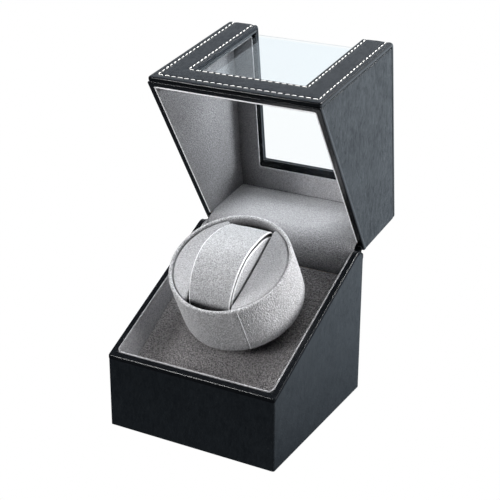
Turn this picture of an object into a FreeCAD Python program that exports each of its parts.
import FreeCAD, Part
import Sketcher
import math
import os

# Watch winder box: a leather-covered box cut on a slope into a base and a lid.
# Frame: +X to the right, +Y to the rear, +Z up, millimetres. The origin is the centre of the
# flat pad under the base. The lid is built shut, then turned back about the hinge axis to the
# open rest position. The drum group is built upright on the deck, then tilted with the deck.

V = FreeCAD.Vector
doc = FreeCAD.newDocument("watch_winder_box")
sheet = doc.addObject("Spreadsheet::Sheet", "dims")
sheet.Label = "dims"

# ---------------------------------------------------------------- driving dimensions
# alias, value, meaning
DIMENSIONS = [
    ("width", 125.0, "outside width of the box"),
    ("depth", 130.0, "outside depth of the box, without the lid pad"),
    ("stand", 0.4, "walls stand this far above the resting plane"),
    ("front_height", 52.5, "height of the base at the front"),
    ("rear_height", 111.8, "height of the base at the rear"),
    ("leather", 0.8, "leather thickness"),
    ("board", 3.2, "wall board thickness"),
    ("card", 1.0, "velvet-covered card thickness"),
    ("corner_round", 8.1, "round of the base's rear top corner"),
    ("lid_rear_height", 50.0, "rear height of the lid box"),
    ("lid_gap", 0.4, "gap between lid and base, upright"),
    ("lid_open", 82.4, "degrees the lid stands open at rest"),
    ("pivot_in", 3.6, "hinge axis in front of the rear face"),
    ("pivot_down", 4.2, "hinge axis below the rear top corner"),
    ("pad", 3.0, "stitched pad frame thickness"),
    ("skin_board", 2.2, "front and top board of the lid"),
    ("pane", 1.5, "acrylic thickness"),
    ("window_half", 40.0, "half width of the window"),
    ("window_low", 23.5, "lower window edge above the lid's lower front edge"),
    ("window_rear", 29.5, "window end in front of the rear face"),
    ("tilt", 29.0, "tilt of the deck and drum"),
    ("deck_z", 62.7, "deck height on the centre plane"),
    ("axis_y", 12.4, "where the drum axis meets the deck"),
    ("drum_gap", 7.7, "drum bottom above the deck"),
    ("drum_high", 41.4, "height of the drum"),
    ("drum_rad", 42.1, "drum radius at the rim"),
    ("drum_inner", 39.5, "inner radius at the rim"),
    ("face_drop", 1.3, "faces below the rim"),
    ("slot_half", 16.6, "half width of the pillow slot"),
    ("pillow_half", 15.9, "half width of the pillow"),
    ("pillow_len", 35.0, "half length of the pillow"),
    ("pillow_rise", 13.6, "crest of the pillow above the rim"),
    ("spindle_rad", 3.0, "spindle radius"),
    ("run_gap", 0.05, "running clearance, radial"),
    ("pulley_rad", 24.0, "large pulley radius"),
    ("pulley_root", 22.0, "large pulley groove root"),
    ("pinion_rad", 6.0, "small pulley radius"),
    ("pinion_root", 4.0, "small pulley groove root"),
    ("centres", 38.0, "distance between the two pulley axes"),
    ("belt", 1.5, "belt thickness"),
    ("knuckle", 1.7, "hinge knuckle radius"),
    ("hinge_pin", 0.8, "hinge pin radius"),
    ("hinge_at", 36.0, "hinge centre from the middle"),
    ("power_travel", 4.0, "power slider travel"),
    ("mode_travel", 6.0, "mode slider travel"),
]


class Dim:
    """A length or angle: its present value together with the expression that gives it."""

    def __init__(self, value, expr):
        self.value, self.expr = float(value), expr

    @staticmethod
    def of(number):
        if isinstance(number, Dim):
            return number
        text = repr(float(number))
        return Dim(number, text if number >= 0 else "(%s)" % text)

    def __add__(self, other):
        other = Dim.of(other)
        return Dim(self.value + other.value, "(%s + %s)" % (self.expr, other.expr))

    def __sub__(self, other):
        other = Dim.of(other)
        return Dim(self.value - other.value, "(%s - %s)" % (self.expr, other.expr))

    def __rsub__(self, other):
        return Dim.of(other) - self

    def __mul__(self, other):
        other = Dim.of(other)
        return Dim(self.value * other.value, "(%s * %s)" % (self.expr, other.expr))

    def __truediv__(self, other):
        other = Dim.of(other)
        return Dim(self.value / other.value, "(%s / %s)" % (self.expr, other.expr))

    def __neg__(self):
        return Dim(-self.value, "(0 - %s)" % self.expr)

    __radd__ = __add__
    __rmul__ = __mul__


def sin(angle):
    return Dim(math.sin(math.radians(angle.value)), "sin(%s * 1deg)" % angle.expr)


def cos(angle):
    return Dim(math.cos(math.radians(angle.value)), "cos(%s * 1deg)" % angle.expr)


class Dims:
    """The driving dimensions, one attribute for each alias."""


dims = Dims()
for row, (alias, value, meaning) in enumerate(DIMENSIONS, 1):
    sheet.set("A%d" % row, meaning)
    sheet.set("B%d" % row, repr(value))
    sheet.setAlias("B%d" % row, alias)
    setattr(dims, alias, Dim(value, "dims." + alias))
doc.recompute()

# ---------------------------------------------------------------- derived places
stand, leather, board, card = dims.stand, dims.leather, dims.board, dims.card
half_width = dims.width / 2
half_depth = dims.depth / 2
board_x = half_width - leather          # outer face of the side boards
board_y = half_depth - leather          # outer face of the front and rear boards
inner_x = board_x - board               # inner face of the side boards
inner_y = board_y - board               # inner face of the front and rear boards
lining_x = inner_x - card               # inner face of the side linings
slope_leather = 1.1 * leather           # leather measured upright on the slope
base_front_z = stand + dims.front_height
base_rear_z = stand + dims.rear_height
lid_top_z = base_rear_z + dims.lid_rear_height
pivot_y = half_depth - dims.pivot_in
pivot_z = base_rear_z - dims.pivot_down
open_cos, open_sin = cos(dims.lid_open), sin(dims.lid_open)
tilt_cos, tilt_sin = cos(dims.tilt), sin(dims.tilt)
HINGE_WIDTH = 22.0
MIRROR = (-1, 1)                        # left, right (or front, rear)
SIDES = (("left", -1), ("right", 1))


def rim_z(y):
    """Height of the sloping cut between base and lid at depth y."""
    slope = (dims.rear_height - dims.front_height) / dims.depth
    return base_front_z + (Dim.of(y) + half_depth) * slope


def base_board_z(y):
    """Top of the base boards, under the leather."""
    return rim_z(y) - slope_leather


def lid_rim_z(y):
    """Lower edge of the shut lid."""
    return rim_z(y) + dims.lid_gap


def lid_board_z(y):
    """Lower edge of the lid boards, above the leather."""
    return lid_rim_z(y) + slope_leather


def deck_height(y):
    return dims.deck_z + Dim.of(y) * tilt_sin / tilt_cos


axis_y, axis_z = dims.axis_y, deck_height(dims.axis_y)


# ---------------------------------------------------------------- placing
FRAME_ANGLES = {"lid": -dims.lid_open, "drum": dims.tilt}
pieces = {}


def in_frame(frame, at):
    """A point given in the base, lid or drum frame, worked out in the base frame."""
    x, y, z = (Dim.of(c) for c in at)
    if frame == "lid":
        y, z = y - pivot_y, z - pivot_z
        return x, pivot_y + y * open_cos + z * open_sin, pivot_z - y * open_sin + z * open_cos
    if frame == "drum":
        return x, axis_y + y * tilt_cos - z * tilt_sin, axis_z + y * tilt_sin + z * tilt_cos
    return x, y, z


def locate(obj, at, rotation=FreeCAD.Rotation()):
    point = [Dim.of(c) for c in at]
    obj.Placement = FreeCAD.Placement(V(*[c.value for c in point]), rotation)
    for axis, c in zip("xyz", point):
        obj.setExpression(".Placement.Base." + axis, c.expr)
    return obj


def place(obj, frame="base", at=(0, 0, 0)):
    if frame == "base":
        return locate(obj, at)
    angle = FRAME_ANGLES[frame]
    locate(obj, in_frame(frame, at), FreeCAD.Rotation(V(1, 0, 0), angle.value))
    obj.setExpression(".Placement.Rotation.Angle", angle.expr)
    return obj


def register(name, obj):
    """Marks a placed object as a piece to export."""
    obj.Label = name
    pieces[name] = obj


def piece(name, obj, frame="base", at=(0, 0, 0)):
    register(name, place(obj, frame, at))


# ---------------------------------------------------------------- sketched bodies
def bind(obj, prop, size):
    size = Dim.of(size)
    setattr(obj, prop, size.value)
    obj.setExpression(prop, size.expr)


def constrain(sketch, kind, elements, size):
    index = sketch.addConstraint(Sketcher.Constraint(kind, *elements, size.value))
    sketch.setExpression("Constraints[%d]" % index, size.expr)


def add_loop(sketch, points):
    """A closed loop of lines whose corners are tied to the sheet."""
    points = [(Dim.of(x), Dim.of(y)) for x, y in points]
    count = len(points)
    for i, (x, y) in enumerate(points):
        end_x, end_y = points[(i + 1) % count]
        line = Part.LineSegment(V(x.value, y.value, 0), V(end_x.value, end_y.value, 0))
        sketch.addGeometry(line, False)
    for i in range(count):
        sketch.addConstraint(Sketcher.Constraint("Coincident", i, 2, (i + 1) % count, 1))
    for i, (x, y) in enumerate(points):
        constrain(sketch, "DistanceX", (-1, 1, i, 1), x)
        constrain(sketch, "DistanceY", (-1, 1, i, 1), y)


def add_circle(sketch, x, y, radius):
    x, y, radius = Dim.of(x), Dim.of(y), Dim.of(radius)
    circle = Part.Circle(V(x.value, y.value, 0), V(0, 0, 1), radius.value)
    index = sketch.addGeometry(circle, False)
    constrain(sketch, "Radius", (index,), radius)
    constrain(sketch, "DistanceX", (-1, 1, index, 3), x)
    constrain(sketch, "DistanceY", (-1, 1, index, 3), y)


def sketched_body(name, plane, outline, circles=()):
    body = doc.addObject("PartDesign::Body", name)
    body.Label = name
    sketch = body.newObject("Sketcher::SketchObject", name + "_profile")
    support = [f for f in body.Origin.OriginFeatures if f.Role == plane][0]
    sketch.AttachmentSupport = [(support, "")]
    sketch.MapMode = "FlatFace"
    add_loop(sketch, outline)
    for circle in circles:
        add_circle(sketch, *circle)
    return body, sketch


def padded(name, plane, outline, length, circles=(), reverse=False):
    """One sketch padded along its plane's normal (YZ: +X, XZ: -Y, XY: +Z).
    circles are holes: (x, y, radius)."""
    body, sketch = sketched_body(name, plane, outline, circles)
    pad = body.newObject("PartDesign::Pad", name + "_pad")
    pad.Profile = sketch
    bind(pad, "Length", length)
    pad.Reversed = reverse
    return body


def turned(name, outline):
    """A body of revolution about Z; the outline's points are (radius, height)."""
    body, sketch = sketched_body(name, "XZ_Plane", outline)
    revolution = body.newObject("PartDesign::Revolution", name + "_turn")
    revolution.Profile = sketch
    revolution.ReferenceAxis = (sketch, ["V_Axis"])
    revolution.Angle = 360.0
    return body


def fillet(body, radius, picks):
    """Rounds the body's edges for which picks(mid-point, edge) holds."""
    doc.recompute()
    tip = body.Tip
    edges = []
    for i, edge in enumerate(tip.Shape.Edges, 1):
        middle = edge.valueAt((edge.FirstParameter + edge.LastParameter) / 2)
        if picks(middle, edge):
            edges.append("Edge%d" % i)
    if not edges:
        raise RuntimeError("no edge to round on " + body.Name)
    feature = body.newObject("PartDesign::Fillet", body.Name + "_fillet")
    feature.Base = (tip, edges)
    bind(feature, "Radius", radius)


def near(a, b):
    return abs(a - b) < 0.05


def rear_corner(middle, edge):
    """The edge along X at the base's rear top corner."""
    run_x = abs(edge.Vertexes[0].Point.x - edge.Vertexes[-1].Point.x)
    return middle.y > board_y.value - 0.3 and middle.z > 60 and near(run_x, edge.Length)


def edge_at(y, z):
    return lambda middle, edge: near(middle.y, y.value) and near(middle.z, z.value)


def across(name, outline, half_length, frame="base", rounds=()):
    """A (y, z) outline padded along X and centred on x = 0; rounds are (radius, picks)."""
    body = padded(name, "YZ_Plane", outline, 2 * half_length)
    for radius, picks in rounds:
        fillet(body, radius, picks)
    return place(body, frame, (-half_length, 0, 0))


def across_piece(name, outline, half_length, frame="base", rounds=()):
    register(name, across(name, outline, half_length, frame, rounds))


def side_pair(name, outline, thickness, inner_face, frame="base", rounds=()):
    """A left and a right panel whose inner faces stand at -/+ inner_face."""
    for side, x in (("left", -(inner_face + thickness)), ("right", inner_face)):
        body = padded(name + "_" + side, "YZ_Plane", outline, thickness)
        for radius, picks in rounds:
            fillet(body, radius, picks)
        piece(name + "_" + side, body, frame, (x, 0, 0))


def rectangle(x0, y0, x1, y1):
    return [(x0, y0), (x1, y0), (x1, y1), (x0, y1)]


def base_outline(front_y, rear_y, bottom, top_at):
    """Level bottom, sloping top."""
    return [(front_y, bottom), (rear_y, bottom), (rear_y, top_at(rear_y)),
            (front_y, top_at(front_y))]


def lid_outline(front_y, rear_y, bottom_at, top):
    """Sloping bottom, level top."""
    return [(front_y, bottom_at(front_y)), (rear_y, bottom_at(rear_y)), (rear_y, top),
            (front_y, top)]


# ---------------------------------------------------------------- primitives and booleans
# a primitive's own axis is Z; these turn it to +X or +Y
AXIS_TURNS = {"z": FreeCAD.Rotation(), "x": FreeCAD.Rotation(V(0, 1, 0), 90),
              "y": FreeCAD.Rotation(V(1, 0, 0), -90)}


def box(name, size, corner):
    obj = doc.addObject("Part::Box", name)
    for prop, length in zip(("Length", "Width", "Height"), size):
        bind(obj, prop, length)
    return locate(obj, corner)


def cylinder(name, radius, length, start, axis="z"):
    obj = doc.addObject("Part::Cylinder", name)
    bind(obj, "Radius", radius)
    bind(obj, "Height", length)
    return locate(obj, start, AXIS_TURNS[axis])


def fuse(name, parts):
    if len(parts) == 1:
        return parts[0]
    obj = doc.addObject("Part::MultiFuse", name)
    obj.Shapes = parts
    return obj


def cut(name, base, tools):
    obj = doc.addObject("Part::Cut", name)
    obj.Base = base
    obj.Tool = fuse(name + "_tools", tools)
    return obj


def common(name, base, tool):
    obj = doc.addObject("Part::Common", name)
    obj.Base, obj.Tool = base, tool
    return obj


# ---------------------------------------------------------------- base: boards
board_round = dims.corner_round - leather
side_pair("base_side_board", base_outline(-board_y, board_y, stand, base_board_z), board,
          inner_x, rounds=[(board_round, rear_corner)])

# front board, with two pockets in its top for the strike plates of the lid catch
CATCH_XS = (-36.0, 36.0)
CATCH_WIDTH, STRIKE_DEPTH = 12.0, 6.0
POCKET_FIT, POCKET_THICK = 0.2, 1.6
front_board_z = base_front_z - slope_leather
pocket_z = front_board_z - STRIKE_DEPTH
front_blank = box("base_front_blank", (2 * inner_x, board, dims.front_height),
                  (-inner_x, -board_y, stand))
front_tools = [box("strike_pocket_%d" % i,
                   (CATCH_WIDTH + 2 * POCKET_FIT, POCKET_THICK, STRIKE_DEPTH + 20),
                   (x - CATCH_WIDTH / 2 - POCKET_FIT, -inner_y - POCKET_THICK, pocket_z))
               for i, x in enumerate(CATCH_XS)]
front_tools.append(box("front_top_trim", (2 * inner_x + 2, board + 2, 8),
                       (-inner_x - 1, -board_y - 1, front_board_z + 0.2)))
piece("base_front_board", cut("base_front_cut", front_blank, front_tools))

# rear board: only what lies below the rounded corner's axis or within its round is kept
ROUND_AXIS_DROP = 12.6                  # axis of the round below the rear top corner
CONTROL_WIDTH, CONTROL_HIGH = 46, 13    # opening for the rear controls
control_z = stand + 15.6


def control_opening(name, y):
    return box(name, (CONTROL_WIDTH, 12, CONTROL_HIGH), (-CONTROL_WIDTH / 2, y, control_z))


rear_blank = across("base_rear_blank", base_outline(inner_y, board_y, stand, base_board_z),
                    inner_x)
rear_round = cylinder("rear_round_keep", board_round, 2 * inner_x + 4,
                      (-inner_x - 2, half_depth - dims.corner_round,
                       base_rear_z - ROUND_AXIS_DROP), "x")
rear_below = box("rear_below", (2 * inner_x + 4, 30, dims.rear_height - ROUND_AXIS_DROP),
                 (-inner_x - 2, half_depth - 20, stand))
rear_common = common("rear_common", rear_blank, fuse("rear_keep", [rear_below, rear_round]))
piece("base_rear_board", cut("base_rear_cut", rear_common,
                             [control_opening("control_opening", inner_y - 4)]))

# ---------------------------------------------------------------- base: floor
SCREW_X, SCREW_Y = 52.0, 54.0
SCREW_HEAD, SCREW_SHANK = 2.8, 1.5      # radii
FLOOR_THICK = 3.0
BLOCK_SIDE, BLOCK_HIGH = 12, 14
BLOCK_INSET = 0.2                       # block centres nearer the middle than the screws
floor_z = stand + 0.8
# tag, x sign, y sign
CORNERS = [("%d%d" % (i, j), sx, sy)
           for i, sx in enumerate(MIRROR) for j, sy in enumerate(MIRROR)]


def floor_sheet(name, edge_gap, thickness, hole_radius):
    half_x, half_y = inner_x - edge_gap, inner_y - edge_gap
    return padded(name, "XY_Plane", rectangle(-half_x, -half_y, half_x, half_y), thickness,
                  [(sx * SCREW_X, sy * SCREW_Y, hole_radius) for _, sx, sy in CORNERS])


piece("base_floor_board", floor_sheet("base_floor_board", 0.1, FLOOR_THICK, 1.6),
      at=(0, 0, floor_z))

blocks = [box("block_" + tag, (BLOCK_SIDE, BLOCK_SIDE, BLOCK_HIGH),
              (sx * (SCREW_X - BLOCK_INSET) - BLOCK_SIDE / 2,
               sy * (SCREW_Y - BLOCK_INSET) - BLOCK_SIDE / 2, floor_z + FLOOR_THICK + 0.1))
          for tag, sx, sy in CORNERS]
block_bores = [cylinder("block_bore_" + tag, SCREW_SHANK, 20,
                        (sx * SCREW_X, sy * SCREW_Y, stand + 2)) for tag, sx, sy in CORNERS]
piece("base_corner_blocks",
      cut("corner_blocks_cut", fuse("corner_blocks_all", blocks), block_bores))

SLOT_LENGTH, SLOT_WIDTH, SLOT_DEPTH = 3.6, 0.6, 0.4
floor_screws = []
screw_slots = []
for tag, sx, sy in CORNERS:
    x, y = sx * SCREW_X, sy * SCREW_Y
    floor_screws += [
        cylinder("floor_screw_head_" + tag, SCREW_HEAD, 0.75, (x, y, stand + 0.02)),
        cylinder("floor_screw_shank_" + tag, SCREW_SHANK, 11.0, (x, y, stand + 0.7))]
    screw_slots.append(box("floor_screw_slot_" + tag, (SLOT_LENGTH, SLOT_WIDTH, SLOT_DEPTH),
                           (x - SLOT_LENGTH / 2, y - SLOT_WIDTH / 2, stand)))
piece("floor_screws", cut("floor_screws_cut", fuse("floor_screws_all", floor_screws),
                          screw_slots))
piece("base_felt_pad", floor_sheet("base_felt_pad", 0.5, floor_z, 3.4))

# ---------------------------------------------------------------- base: leather wrap
wrap_outer = across("base_wrap_outer", base_outline(-half_depth, half_depth, stand, rim_z),
                    half_width, rounds=[(dims.corner_round, rear_corner)])
wrap_inner = across("base_wrap_inner",
                    base_outline(-board_y, board_y, stand - 2, base_board_z),
                    board_x, rounds=[(board_round, rear_corner)])
wrap_tools = [wrap_inner,
              box("base_wrap_well", (2 * inner_x, 2 * inner_y, 200),
                  (-inner_x, -inner_y, stand - 5)),
              control_opening("base_wrap_control", inner_y)]
# notches where the hinge barrels stand in the rounded corner
NOTCH_LENGTH = HINGE_WIDTH + 1.5
wrap_tools += [cylinder("barrel_notch_%d" % i, dims.knuckle + 0.5, NOTCH_LENGTH,
                        (sx * dims.hinge_at - NOTCH_LENGTH / 2, pivot_y, pivot_z), "x")
               for i, sx in enumerate(MIRROR)]
piece("base_leather_wrap", cut("base_wrap_cut", wrap_outer, wrap_tools))

# ---------------------------------------------------------------- base: linings and deck
# the rear lining leans back from the deck to just below the hinge axis
REAR_FOOT_Y, REAR_TOP_Y = 50.8, 56.4
rear_top_z = pivot_z - 1.6
CHAMFER_Y = 53.0                        # the side linings leave the rim here
front_foot_z = deck_height(-inner_y) - 1.0
front_lining_y = -(inner_y - card)      # inner face of the front lining
lining_half = lining_x - 0.05           # half length of the cross linings

side_pair("base_lining",
          [(-inner_y, front_foot_z), (-inner_y, rim_z(-inner_y)),
           (CHAMFER_Y, rim_z(CHAMFER_Y)), (CHAMFER_Y + 1.6, rim_z(CHAMFER_Y) - 0.6),
           (REAR_TOP_Y - 0.25, rear_top_z),
           (REAR_FOOT_Y - 0.1, deck_height(REAR_FOOT_Y) - 1.0)], card, lining_x)
across_piece("base_lining_front",
             [(-inner_y, front_foot_z), (front_lining_y, front_foot_z),
              (front_lining_y, rim_z(front_lining_y)), (-inner_y, rim_z(-inner_y))],
             lining_half)
across_piece("base_lining_rear",
             [(REAR_FOOT_Y, deck_height(REAR_FOOT_Y) + 0.1),
              (REAR_FOOT_Y + 1.05, deck_height(REAR_FOOT_Y) - 0.25),
              (REAR_TOP_Y + 1.05, rear_top_z - 0.35), (REAR_TOP_Y, rear_top_z)], lining_half)

# the deck's upper face is the drum frame's z = 0 plane
DECK_THICK, DECK_FIT = 3.4, 0.15
deck_half = lining_x - 0.1
deck_front = (front_lining_y + DECK_FIT - axis_y) / tilt_cos
deck_rear = (REAR_FOOT_Y - DECK_FIT - axis_y) / tilt_cos
piece("deck_panel",
      padded("deck_panel", "XY_Plane", rectangle(-deck_half, deck_front, deck_half, deck_rear),
             DECK_THICK, [(0, 0, 8.6)]), "drum", (0, 0, -DECK_THICK))
RAIL_WIDTH, RAIL_LENGTH, RAIL_HIGH = 7, 112, 8
rail_x = inner_x - 0.05                 # outer face of the rails
rails = [box("rail_%d" % i, (RAIL_WIDTH, RAIL_LENGTH, RAIL_HIGH), (x, -70.0, -11.5))
         for i, x in enumerate((-rail_x, rail_x - RAIL_WIDTH))]
piece("deck_rails", fuse("rails_all", rails), "drum")

# ---------------------------------------------------------------- drive under the deck
# all turned outlines are (radius, height above the deck)
spindle_rad = dims.spindle_rad
bush_bore = spindle_rad + dims.run_gap
HOUSING_BORE, BUSH_RAD, BUSH_FLANGE = 5.0, 4.98, 6.6
piece("spindle_housing", turned("spindle_housing", [
    (HOUSING_BORE, -20.0), (8.0, -20.0), (8.0, -5.6), (20.0, -5.6),
    (20.0, -3.5), (8.2, -3.5), (8.2, -0.4), (HOUSING_BORE, -0.4)]), "drum")
bush_lower = turned("bush_lower", [
    (bush_bore, -20.9), (BUSH_FLANGE, -20.9), (BUSH_FLANGE, -20.05),
    (BUSH_RAD, -20.05), (BUSH_RAD, -14.0), (bush_bore, -14.0)])
bush_upper = turned("bush_upper", [
    (bush_bore, -6.0), (BUSH_RAD, -6.0), (BUSH_RAD, -0.35),
    (BUSH_FLANGE, -0.35), (BUSH_FLANGE, 0.5), (bush_bore, 0.5)])
piece("spindle_bushes", fuse("bushes_all", [bush_lower, bush_upper]), "drum")

# motor bracket: a plate with a hole at each end for its screws and one for the shaft
BRACKET_HALF_X, BRACKET_HALF_Y, BRACKET_THICK = 21.0, 12.0, 1.5
BRACKET_SCREW_X = 17.0
BRACKET_Z = -4.95
piece("motor_bracket", padded(
    "motor_bracket_blank", "XY_Plane",
    rectangle(-BRACKET_HALF_X, -BRACKET_HALF_Y, BRACKET_HALF_X, BRACKET_HALF_Y), BRACKET_THICK,
    [(-BRACKET_SCREW_X, 0, 1.6), (BRACKET_SCREW_X, 0, 1.6), (0, 0, 3.0)]),
    "drum", (0, -dims.centres, BRACKET_Z))
bracket_screws = []
for i, sx in enumerate(MIRROR):
    x = sx * BRACKET_SCREW_X
    bracket_screws += [
        cylinder("bracket_screw_head_%d" % i, SCREW_HEAD, 1.6, (x, 0, -1.62)),
        cylinder("bracket_screw_shank_%d" % i, SCREW_SHANK, 1.5, (x, 0, -0.02))]
piece("motor_bracket_screws", fuse("bracket_screws_all", bracket_screws),
      "drum", (0, -dims.centres, BRACKET_Z - 0.02))

# motor and its pulley, on the motor axis
SHAFT_RAD = 1.5
BELT_Z = -24.0                          # middle of the belt
GROOVE_LOW, GROOVE_HIGH = BELT_Z - 1.0, BELT_Z + 1.0
shaft_bore = SHAFT_RAD + dims.run_gap
pinion_rad, pinion_root = dims.pinion_rad, dims.pinion_root
MOTOR_OUTLINES = {
    "motor_case": [
        (shaft_bore, -21.5), (3.2, -21.5), (3.2, -20.6), (11.0, -20.6),
        (12.0, -19.6), (12.0, -5.0), (shaft_bore, -5.0)],
    "motor_shaft": [
        (0, -27.4), (1.2, -27.4), (SHAFT_RAD, -27.1), (SHAFT_RAD, -4.2), (0, -4.2)],
    "motor_pulley": [
        (SHAFT_RAD, -26.4), (pinion_rad, -26.4), (pinion_rad, GROOVE_LOW),
        (pinion_root, GROOVE_LOW), (pinion_root, GROOVE_HIGH), (pinion_rad, GROOVE_HIGH),
        (pinion_rad, -22.2), (SHAFT_RAD, -22.2)],
}
for name, outline in MOTOR_OUTLINES.items():
    piece(name, turned(name, outline), "drum", (0, -dims.centres, 0))

pulley_rad, pulley_root = dims.pulley_rad, dims.pulley_root
piece("drive_pulley", turned("drive_pulley", [
    (spindle_rad, -26.6), (7.0, -26.6), (7.0, -25.4), (pulley_rad, -25.4),
    (pulley_rad, GROOVE_LOW), (pulley_root, GROOVE_LOW), (pulley_root, GROOVE_HIGH),
    (pulley_rad, GROOVE_HIGH), (pulley_rad, -22.6), (8.0, -22.6), (8.0, -21.2),
    (spindle_rad, -21.2)]), "drum")


def belt_wire(offset):
    """Two arcs joined by tangents, offset from the roots of the large pulley's groove at
    the origin and the small one's at -Y."""
    large = pulley_root.value + offset
    small = pinion_root.value + offset
    centres = dims.centres.value
    lean = math.asin((large - small) / centres)
    right_large = V(large * math.cos(lean), -large * math.sin(lean), 0)
    right_small = V(small * math.cos(lean), -centres - small * math.sin(lean), 0)
    left_large = V(-right_large.x, right_large.y, 0)
    left_small = V(-right_small.x, right_small.y, 0)
    return Part.Wire([
        Part.Arc(right_large, V(0, large, 0), left_large).toShape(),
        Part.LineSegment(left_large, left_small).toShape(),
        Part.Arc(left_small, V(0, -centres - small, 0), right_small).toShape(),
        Part.LineSegment(right_small, right_large).toShape()])


BELT_FIT, BELT_WIDTH = 0.05, 1.5
belt_inner = belt_wire(BELT_FIT)
belt_outer = belt_wire(BELT_FIT + dims.belt.value)
belt_rise = V(0, 0, BELT_WIDTH)
belt = doc.addObject("Part::Feature", "drive_belt")
belt.Shape = Part.Face(belt_outer).extrude(belt_rise).cut(
    Part.Face(belt_inner).extrude(belt_rise))
piece("drive_belt", belt, "drum", (0, 0, BELT_Z - BELT_WIDTH / 2))

# ---------------------------------------------------------------- drum group
drum_z, drum_rad, drum_inner = dims.drum_gap, dims.drum_rad, dims.drum_inner
drum_rim = drum_z + dims.drum_high
clip_groove = spindle_rad - 0.6
piece("spindle", turned("spindle_blank", [
    (0, -29.0), (spindle_rad - 0.4, -29.0), (spindle_rad, -28.6), (spindle_rad, -28.2),
    (clip_groove, -28.2), (clip_groove, -27.4), (spindle_rad, -27.4), (spindle_rad, 7.2),
    (spindle_rad - 0.4, 7.6), (0, 7.6)]), "drum")
piece("spindle_clip", cut("spindle_clip_cut", cylinder("clip_disc", 5.2, 0.7, (0, 0, -28.15)), [
    cylinder("clip_bore", clip_groove, 2, (0, 0, -29)),
    box("clip_mouth", (3.6, 8, 2), (-1.8, 0, -29))]), "drum")
hub_top = drum_z - 0.02
piece("drum_hub", turned("drum_hub", [
    (spindle_rad, 1.2), (6.8, 1.2), (6.8, 4.6), (15.0, 4.6), (15.0, hub_top),
    (spindle_rad, hub_top)]), "drum")
piece("drum_cup", turned("drum_cup", [
    (0, drum_z), (drum_rad - 3.5, drum_z), (drum_rad - 1.2, drum_z + 2.0),
    (drum_rad - 0.75, drum_z + 4.0), (drum_rad - 0.85, drum_rim - 0.9),
    (drum_inner + 0.7, drum_rim - 0.9), (drum_inner + 0.7, drum_z + 2.5),
    (0, drum_z + 2.5)]), "drum")
# velvet: up the outside of the cup, over the rim, a little down the inside, and back
piece("drum_velvet_wrap", turned("drum_velvet_wrap", [
    (drum_rad - 4.2, drum_z - 0.7), (drum_rad - 2.0, drum_z - 0.4),
    (drum_rad - 0.4, drum_z + 1.4), (drum_rad + 0.5, drum_z + 4.0),
    (drum_rad, drum_rim - 1.2), (drum_rad - 0.6, drum_rim - 0.25),
    (drum_rad - 1.3, drum_rim), (drum_inner + 0.6, drum_rim - 0.1),
    (drum_inner, drum_rim - 0.6), (drum_inner, drum_rim - 5.0),
    (drum_inner + 0.65, drum_rim - 5.0), (drum_inner + 0.65, drum_rim - 0.85),
    (drum_rad - 0.8, drum_rim - 0.85), (drum_rad - 0.7, drum_z + 4.0),
    (drum_rad - 1.15, drum_z + 1.95), (drum_rad - 3.4, drum_z - 0.05),
    (drum_rad - 4.2, drum_z - 0.05)]), "drum")

# face pads: a disc on the cup's floor, kept only outside the pillow slot
FACE_LIFT = 2.6
for side, sx in SIDES:
    disc = cylinder("face_disc_" + side, drum_inner - 0.1,
                    dims.drum_high - FACE_LIFT - dims.face_drop, (0, 0, drum_z + FACE_LIFT))
    keep_x = dims.slot_half if sx > 0 else -dims.slot_half - 60
    keep = box("face_keep_" + side, (60, 100, 80), (keep_x, -50, 0))
    piece("drum_face_pad_" + side, common("face_pad_common_" + side, disc, keep), "drum")


def pillow_outline(inset):
    """An arched cushion seen from the side, drawn in by inset."""
    top = drum_rim + dims.pillow_rise - inset
    bottom = drum_z + 5.0 + inset
    reach = dims.pillow_len - inset
    shoulder = drum_rim - 3.0
    points = [(-0.80 * reach, bottom), (0.80 * reach, bottom), (reach, bottom + 8.0)]
    for degrees in range(0, 181, 12):
        angle = math.radians(degrees)
        points.append((reach * math.cos(angle),
                       shoulder + (top - shoulder) * math.sin(angle) ** 0.85))
    return points + [(-reach, bottom + 8.0)]


CORE_INSET, COVER_THICK = 1.6, 1.5
across_piece("pillow_core", pillow_outline(CORE_INSET), dims.pillow_half - CORE_INSET, "drum")
pillow_out = across("pillow_out", pillow_outline(0.0), dims.pillow_half)
pillow_in = across("pillow_in", pillow_outline(COVER_THICK), dims.pillow_half - COVER_THICK)
piece("pillow_cover", cut("pillow_cover_cut", pillow_out, [pillow_in]), "drum")

# ---------------------------------------------------------------- rear controls
PLATE_HALF, PLATE_LOW, PLATE_HIGH, PLATE_THICK = 26.5, -3.0, 16.0, 1.4
BODY_FIT = 0.2                          # control body inside its opening
JACK_X = -15.0
jack_z = control_z + 6.5
KNOB_WIDTH, SLOT_FIT = 4.0, 0.2
# name, knob x, travel, width of the switch on the circuit board
SLIDERS = (("power", -4.0, dims.power_travel, 9.0), ("mode", 10.0, dims.mode_travel, 11.0))


def plate_corner(middle, edge):
    return (near(abs(middle.x), PLATE_HALF) and near(edge.Length, PLATE_THICK)
            and (near(middle.z, PLATE_LOW) or near(middle.z, PLATE_HIGH)))


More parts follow.
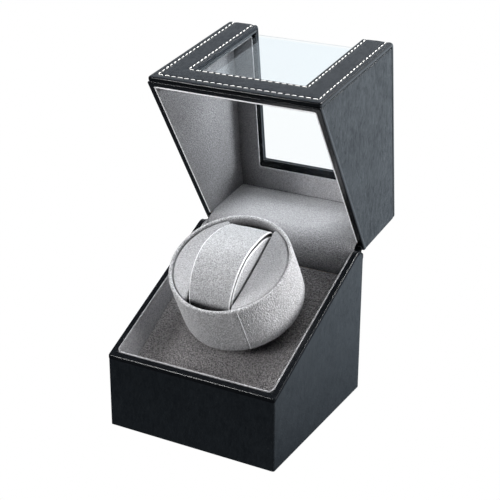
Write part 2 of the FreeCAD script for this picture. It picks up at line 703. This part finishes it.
plate = padded("control_plate_blank", "XZ_Plane",
               rectangle(-PLATE_HALF, PLATE_LOW, PLATE_HALF, PLATE_HIGH), PLATE_THICK,
               reverse=True)
fillet(plate, 2.5, plate_corner)
place(plate, at=(0, half_depth + 0.02, control_z))
control_body = box("control_body",
                   (CONTROL_WIDTH - 2 * BODY_FIT, 6.0, CONTROL_HIGH - 2 * BODY_FIT),
                   (BODY_FIT - CONTROL_WIDTH / 2, half_depth - 5.6, control_z + BODY_FIT))
plate_tools = [cylinder("jack_hole", 4.3, 12, (JACK_X, half_depth - 8, jack_z), "y")]
plate_tools += [box(name + "_slot", (KNOB_WIDTH + travel + 2 * SLOT_FIT, 12, 3.4),
                    (x - SLOT_FIT, half_depth - 8, control_z + 4.8))
                for name, x, travel, _ in SLIDERS]
piece("control_plate", cut("control_plate_cut",
                           fuse("control_plate_all", [plate, control_body]), plate_tools))

# jack: a tube with its open end to the rear, closed in front, with a centre pin
jack_tube = turned("dc_jack_blank",
                   [(2.8, 0), (4.2, 0), (4.2, 11.0), (0.0, 11.0), (0.0, 9.0), (2.8, 9.0)])
jack_pin = cylinder("jack_pin", 0.95, 8.4, (0, 0, 1.2))
register("dc_jack", locate(fuse("dc_jack_all", [jack_tube, jack_pin]),
                           (JACK_X, half_depth + 1.3, jack_z),
                           FreeCAD.Rotation(V(1, 0, 0), 90)))


def slider(name, x):
    """A knob joined by a neck to a foot inside, with three grooves in the knob's rear face."""
    solids = [
        box(name + "_knob", (KNOB_WIDTH, 6.0, 3.0), (x, half_depth - 3.0, control_z + 5.0)),
        box(name + "_foot", (6.0, 1.2, 5.0), (x - 1.0, half_depth - 6.95, control_z + 4.0)),
        box(name + "_neck", (2.4, 5.0, 2.4), (x + 0.8, half_depth - 6.2, control_z + 5.3))]
    grooves = [box(name + "_rib_%d" % i, (0.4, 0.6, 4.0),
                   (x + 0.9 + i * 0.9, half_depth + 2.7, control_z + 4.5)) for i in range(3)]
    return cut(name + "_cut", fuse(name + "_all", solids), grooves)


for name, x, _, _ in SLIDERS:
    piece(name + "_slider", slider(name + "_slider", x))

# circuit board, with its components on both faces
pcb_parts = [
    box("pcb_base", (50, 1.6, 22), (-25, half_depth - 14.6, stand + 8.5)),
    box("pcb_chip", (8, 1.5, 6), (-4, half_depth - 16.0, stand + 18)),
    box("pcb_power", (7, 2.6, 5), (9, half_depth - 17.1, stand + 14)),
    cylinder("pcb_cap", 3.0, 7.0, (-14, half_depth - 21.5, stand + 19), "y")]
pcb_parts += [box("pcb_%s_switch" % name, (switch_width, 5.0, 5.0),
                  (x - 2.0, half_depth - 13.1, control_z + 4.0))
              for name, x, _, switch_width in SLIDERS]
piece("control_pcb", fuse("pcb_all", pcb_parts))


def motor_lead(x):
    """A wire from the board, along the floor and up to the motor case at x."""
    end = V(*[c.value for c in in_frame("drum", (x, -dims.centres - 12.05, -10.0))])
    rear, low = half_depth.value, stand.value
    path = Part.BSplineCurve()
    path.interpolate([V(x * 4, rear - 16.8, low + 11.0), V(x * 3, rear - 24.0, low + 8.6),
                      V(x * 2, 0.0, low + 8.4), V(x, -34.0, low + 13.0),
                      V(x, end.y - 3.2, end.z - 3.6), end])
    start = path.FirstParameter
    section = Part.Circle(path.value(start), path.tangent(start)[0], LEAD_RAD)
    spine = Part.Wire([path.toShape()])
    return spine.makePipeShell([Part.Wire([section.toShape()])], True, False)


LEAD_X, LEAD_RAD = 1.6, 0.65
leads = doc.addObject("Part::Feature", "motor_leads")
leads.Shape = Part.makeCompound([motor_lead(sx * LEAD_X) for sx in MIRROR])
piece("motor_leads", leads)

# ---------------------------------------------------------------- catch
CATCH_THICK = 1.2
strikes = [box("strike_%d" % i, (CATCH_WIDTH, CATCH_THICK, STRIKE_DEPTH - 0.4),
               (x - CATCH_WIDTH / 2, -inner_y - 1.4, pocket_z + 0.2))
           for i, x in enumerate(CATCH_XS)]
piece("catch_strike_plates", fuse("strikes_all", strikes))
magnets = [box("magnet_%d" % i, (CATCH_WIDTH, CATCH_THICK, 5.0),
               (x - CATCH_WIDTH / 2, -inner_y - 1.65, lid_rim_z(-inner_y) + 1.4))
           for i, x in enumerate(CATCH_XS)]
piece("catch_magnets", fuse("magnets_all", magnets), "lid")

# ---------------------------------------------------------------- hinge
LEAF_THICK, LEAF_HIGH, ARM_HIGH = 0.8, 12.0, 4.0
KNUCKLE_GAP = 0.4
KNUCKLE_LENGTH = (HINGE_WIDTH - 2 * KNUCKLE_GAP) / 3
LEAF_SCREW_X = 6.5                      # leaf screws either side of the hinge's middle
leaf_y = pivot_y - 1.2


def hinge_half(which, knuckle_starts, arm_z, leaf_z, screw_z, bore_rad):
    """The leaves and screws of both hinges on the base or the lid. knuckle_starts are
    measured from a hinge's left end, heights from the hinge axis."""
    solids, tools, screws = [], [], []
    for i, sx in enumerate(MIRROR):
        middle = sx * dims.hinge_at
        left = middle - HINGE_WIDTH / 2
        for j, start in enumerate(knuckle_starts):
            tag = "%s_%d%d" % (which, i, j)
            solids += [
                cylinder("knuckle_" + tag, dims.knuckle, KNUCKLE_LENGTH,
                         (left + start, pivot_y, pivot_z), "x"),
                box("arm_" + tag, (KNUCKLE_LENGTH, LEAF_THICK, ARM_HIGH),
                    (left + start, leaf_y, pivot_z + arm_z))]
        solids.append(box("leaf_%s_%d" % (which, i), (HINGE_WIDTH, LEAF_THICK, LEAF_HIGH),
                          (left, leaf_y, pivot_z + leaf_z)))
        tools.append(cylinder("bore_%s_%d" % (which, i), bore_rad, HINGE_WIDTH + 4,
                              (left - 2, pivot_y, pivot_z), "x"))
        for j, side in enumerate(MIRROR):
            tag = "%s_%d%d" % (which, i, j)
            x, z = middle + side * LEAF_SCREW_X, pivot_z + screw_z
            tools.append(cylinder("leaf_hole_" + tag, 1.2, 4, (x, leaf_y - 1, z), "y"))
            screws += [
                cylinder("leaf_screw_head_" + tag, 2.0, 0.6, (x, leaf_y - 0.62, z), "y"),
                cylinder("leaf_screw_shank_" + tag, 1.1, 0.85, (x, leaf_y - 0.1, z), "y")]
    leaves = cut("leaf_cut_" + which, fuse("leaf_all_" + which, solids), tools)
    piece("hinge_%s_leaves" % which, leaves, which)
    piece("hinge_%s_screws" % which, fuse("leaf_screws_" + which, screws), which)


hinge_half("base", knuckle_starts=(0, HINGE_WIDTH - KNUCKLE_LENGTH), arm_z=-ARM_HIGH,
           leaf_z=-14.5, screw_z=-9.0, bore_rad=dims.hinge_pin)
hinge_half("lid", knuckle_starts=(KNUCKLE_LENGTH + KNUCKLE_GAP,), arm_z=0,
           leaf_z=2.5, screw_z=9.0, bore_rad=dims.hinge_pin + dims.run_gap)
pins = [cylinder("pin_%d" % i, dims.hinge_pin, HINGE_WIDTH,
                 (sx * dims.hinge_at - HINGE_WIDTH / 2, pivot_y, pivot_z), "x")
        for i, sx in enumerate(MIRROR)]
piece("hinge_pins", fuse("pins_all", pins))

# velvet flap that hides the hinge from inside, from the base's rear lining to the lid's
across_piece("velvet_hinge_flap",
             [(REAR_TOP_Y + 0.05, rear_top_z + 0.15), (REAR_TOP_Y + 1.0, rear_top_z - 0.1),
              (pivot_y - 1.1, pivot_z + 2.15), (pivot_y + 0.35, pivot_z + 2.9),
              (pivot_y + 0.2, pivot_z + 3.6), (pivot_y - 1.5, pivot_z + 2.95)],
             lining_x - 0.3)

# ---------------------------------------------------------------- lid, built shut
window_z = base_front_z + dims.lid_gap + dims.window_low
window_rear_y = half_depth - dims.window_rear
skin_y = -(half_depth - dims.skin_board)    # inner face of the lid's front board
skin_z = lid_top_z - dims.skin_board        # inner face of the lid's top board


def window_cutter(name, margin, front_y, rear_y, bottom_z, height):
    """A box as wide as the window plus a margin on either side."""
    half = dims.window_half + margin
    return box(name, (2 * half, rear_y - front_y, height), (-half, front_y, bottom_z))


# boards
side_pair("lid_side_board", lid_outline(skin_y, board_y, lid_board_z, skin_z), board,
          inner_x, "lid")
across_piece("lid_rear_board", lid_outline(inner_y, board_y, lid_board_z, skin_z), inner_x,
             "lid")
lid_front = across("lid_front_blank",
                   lid_outline(-half_depth, skin_y, lid_board_z, lid_top_z), board_x)
piece("lid_front_board", cut("lid_front_cut", lid_front, [
    window_cutter("front_window", 0, -half_depth - 10, -half_depth + 10, window_z, 200)]),
    "lid")
lid_top = box("lid_top_blank", (2 * board_x, board_y - skin_y, dims.skin_board),
              (-board_x, skin_y, skin_z))
piece("lid_top_board", cut("lid_top_cut", lid_top, [
    window_cutter("top_window", 0, skin_y - 10, window_rear_y, skin_z - 10, 20)]), "lid")

# leather wrap: the rear rim strip stays clear of the two hinge leaves
LEAF_NOTCH = HINGE_WIDTH + 1.0
lid_outer = across("lid_wrap_outer",
                   lid_outline(-half_depth, half_depth, lid_rim_z, lid_top_z), half_width)
lid_inner = across("lid_wrap_inner",
                   lid_outline(-half_depth - 2, board_y, lid_board_z, lid_top_z + 2), board_x)
lid_well = padded("lid_wrap_well", "XY_Plane",
                  rectangle(-inner_x, -inner_y - 0.4, inner_x, inner_y - 3.0), 200)
place(lid_well, at=(0, 0, 20))
leaf_notches = [box("lid_leaf_notch_%d" % i, (LEAF_NOTCH, 3.2, 60),
                    (sx * dims.hinge_at - LEAF_NOTCH / 2, inner_y - 3.1, pivot_z - 10))
                for i, sx in enumerate(MIRROR)]
piece("lid_leather_wrap",
      cut("lid_wrap_cut", lid_outer, [lid_inner, lid_well] + leaf_notches), "lid")

# pad frame over the front and top, open at the window
pad_y, pad_z = -(half_depth + dims.pad), lid_top_z + dims.pad
pad_low_z = lid_rim_z(-half_depth) + 1.0
pad_rear_y = half_depth - 0.3
pad_frame = across("pad_frame_blank",
                   [(pad_y, pad_low_z), (-half_depth, pad_low_z), (-half_depth, lid_top_z),
                    (pad_rear_y, lid_top_z), (pad_rear_y, pad_z), (pad_y, pad_z)],
                   half_width - 0.2, rounds=[(2.4, edge_at(pad_y, pad_z))])
piece("lid_pad_frame", cut("pad_frame_cut", pad_frame, [
    window_cutter("pad_window", 0, -half_depth - 10, window_rear_y, window_z, 200)]), "lid")

# window pane, bent over the front top edge and lapping the boards round the window
PANE_LAP = 9.0
pane_low_z, pane_rear_y = window_z - PANE_LAP, window_rear_y + PANE_LAP
pane_y, pane_z = skin_y + dims.pane, skin_z - dims.pane     # inner faces of the pane
across_piece("window_pane",
             [(skin_y, pane_low_z), (pane_y, pane_low_z), (pane_y, pane_z),
              (pane_rear_y, pane_z), (pane_rear_y, skin_z), (skin_y, skin_z)],
             lining_x - 0.2, "lid",
             rounds=[(0.9, edge_at(pane_y, pane_z)), (2.4, edge_at(skin_y, skin_z))])

# linings, inside the pane; their window openings are a little larger
LINING_MARGIN = 2
lid_lining_y = half_depth - 8.0         # inner face of the rear lining
ceiling_z = pane_z - card               # lower face of the top lining
side_pair("lid_lining", lid_outline(pane_y, lid_lining_y + card, lid_rim_z, pane_z), card,
          lining_x, "lid")
across_piece("lid_lining_rear",
             lid_outline(lid_lining_y, lid_lining_y + card, lid_rim_z, ceiling_z),
             lining_half, "lid")
lining_front = across("lid_lining_front_blank",
                      lid_outline(pane_y, pane_y + card, lid_rim_z, ceiling_z), lining_half)
piece("lid_lining_front", cut("lid_lining_front_cut", lining_front, [
    window_cutter("front_lining_window", LINING_MARGIN, pane_y - 10, pane_y + 10,
                  window_z - LINING_MARGIN, 200)]), "lid")
lining_top = box("lid_lining_top_blank", (2 * lining_half, lid_lining_y - pane_y - 1.0, card),
                 (-lining_half, pane_y + 1.0, ceiling_z))
piece("lid_lining_top", cut("lid_lining_top_cut", lining_top, [
    window_cutter("top_lining_window", LINING_MARGIN, pane_y - 10, window_rear_y + 4.5,
                  pane_z - 10, 20)]), "lid")

# ---------------------------------------------------------------- check and write
doc.recompute()
failed = [o.Name for o in doc.Objects if any(s in ("Invalid", "Error") for s in o.State)]
if failed:
    raise RuntimeError("failed objects: %s" % failed)
faults = [name for name, obj in pieces.items()
          if obj.Shape.isNull() or not obj.Shape.isValid() or not obj.Shape.Solids
          or obj.Shape.Volume <= 0]
if faults:
    raise RuntimeError("no valid solid in %s" % faults)
os.makedirs("parts", exist_ok=True)
for name, obj in pieces.items():
    obj.Shape.exportStep("parts/%s.step" % name)
